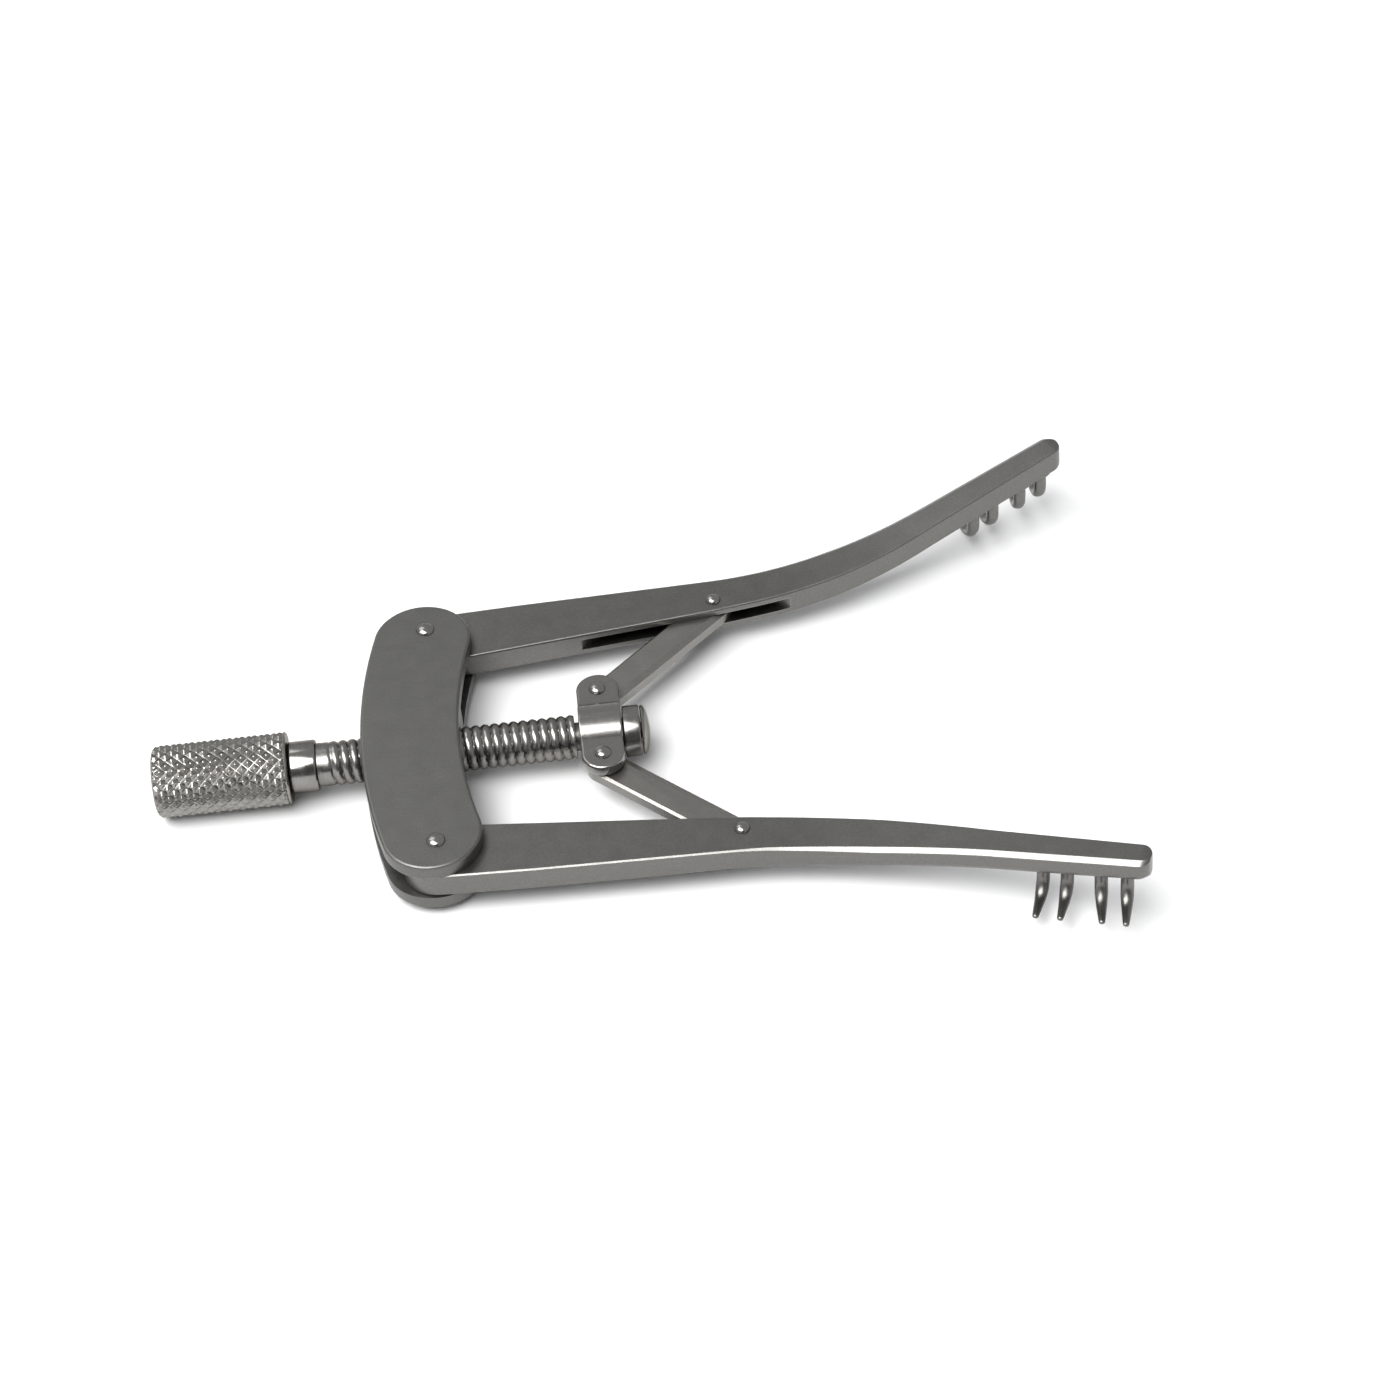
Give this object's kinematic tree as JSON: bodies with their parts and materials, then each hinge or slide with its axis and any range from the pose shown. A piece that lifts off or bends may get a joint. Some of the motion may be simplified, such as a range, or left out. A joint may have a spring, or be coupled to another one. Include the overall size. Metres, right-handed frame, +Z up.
{
  "type": "self-retaining screw retractor",
  "caption": "Hand-held self-retaining retractor: a knurled screw drives a swivel and links that spread two hinged arms with blunt curved prongs.",
  "frame": {"origin": "on the yoke's flat underside, on the line between the two arm pivots and below the spindle's axis", "axes": "+X along the spindle from the knob to the prongs, +Y to the left arm, +Z up out of the yoke's top face"},
  "size_m": [0.1002, 0.069, 0.0102],
  "materials": {
    "yoke_steel": "satin",
    "arm_steel": "satin with bright rounded edges",
    "link_steel": "satin",
    "rivet_steel": "polished dome",
    "swivel_steel": "polished",
    "spindle_steel": "polished",
    "knob_steel": "diamond knurl"
  },
  "bodies": {
    "yoke": {"yoke_body": "yoke_steel", "left_pivot_rivet": "rivet_steel", "right_pivot_rivet": "rivet_steel"},
    "left_arm": {"left_arm": "arm_steel", "left_link_rivet": "rivet_steel"},
    "right_arm": {"right_arm": "arm_steel", "right_link_rivet": "rivet_steel"},
    "carriage": {"swivel_saddle": "swivel_steel", "left_swivel_rivet": "rivet_steel", "right_swivel_rivet": "rivet_steel"},
    "left_link": {"left_link": "link_steel"},
    "right_link": {"right_link": "link_steel"},
    "spindle": {"drive_spindle": "spindle_steel", "knurled_knob": "knob_steel", "neck_collar": "spindle_steel", "retaining_collar": "spindle_steel", "end_button": "spindle_steel"}
  },
  "joints": [
    {"name": "left_arm_swing", "type": "hinge", "parent": "yoke", "child": "left_arm", "pos_m": [0, 0.0158, 0.003], "axis": [0, 0, 1], "range_deg": [-20, 4.5]},
    {"name": "right_arm_swing", "type": "hinge", "parent": "yoke", "child": "right_arm", "pos_m": [0, -0.0158, 0.003], "axis": [0, 0, 1], "range_deg": [-4.5, 20]},
    {"name": "carriage_slide", "type": "slide", "parent": "yoke", "child": "carriage", "axis": [1, 0, 0], "range_m": [-0.00681, 0.00154]},
    {"name": "left_link_swing", "type": "hinge", "parent": "carriage", "child": "left_link", "pos_m": [0.01775, 0.00482, 0.003], "axis": [0, 0, 1], "range_deg": [-38.6, 8.7]},
    {"name": "right_link_swing", "type": "hinge", "parent": "carriage", "child": "right_link", "pos_m": [0.01775, -0.00482, 0.003], "axis": [0, 0, 1], "range_deg": [-8.7, 38.6]},
    {"name": "spindle_spin", "type": "hinge", "parent": "carriage", "child": "spindle", "pos_m": [0.01775, 0, 0.003], "axis": [1, 0, 0], "range_deg": [-2450, 553]}
  ],
  "couplings": [
    {"joint": "right_arm_swing", "follows": "left_arm_swing", "ratio": -1},
    {"joint": "carriage_slide", "follows": "left_arm_swing", "m_per_rad": 0.01947},
    {"joint": "left_link_swing", "follows": "left_arm_swing", "ratio": 1.924},
    {"joint": "right_link_swing", "follows": "left_arm_swing", "ratio": -1.924},
    {"joint": "spindle_spin", "follows": "left_arm_swing", "ratio": 122.33}
  ]
}
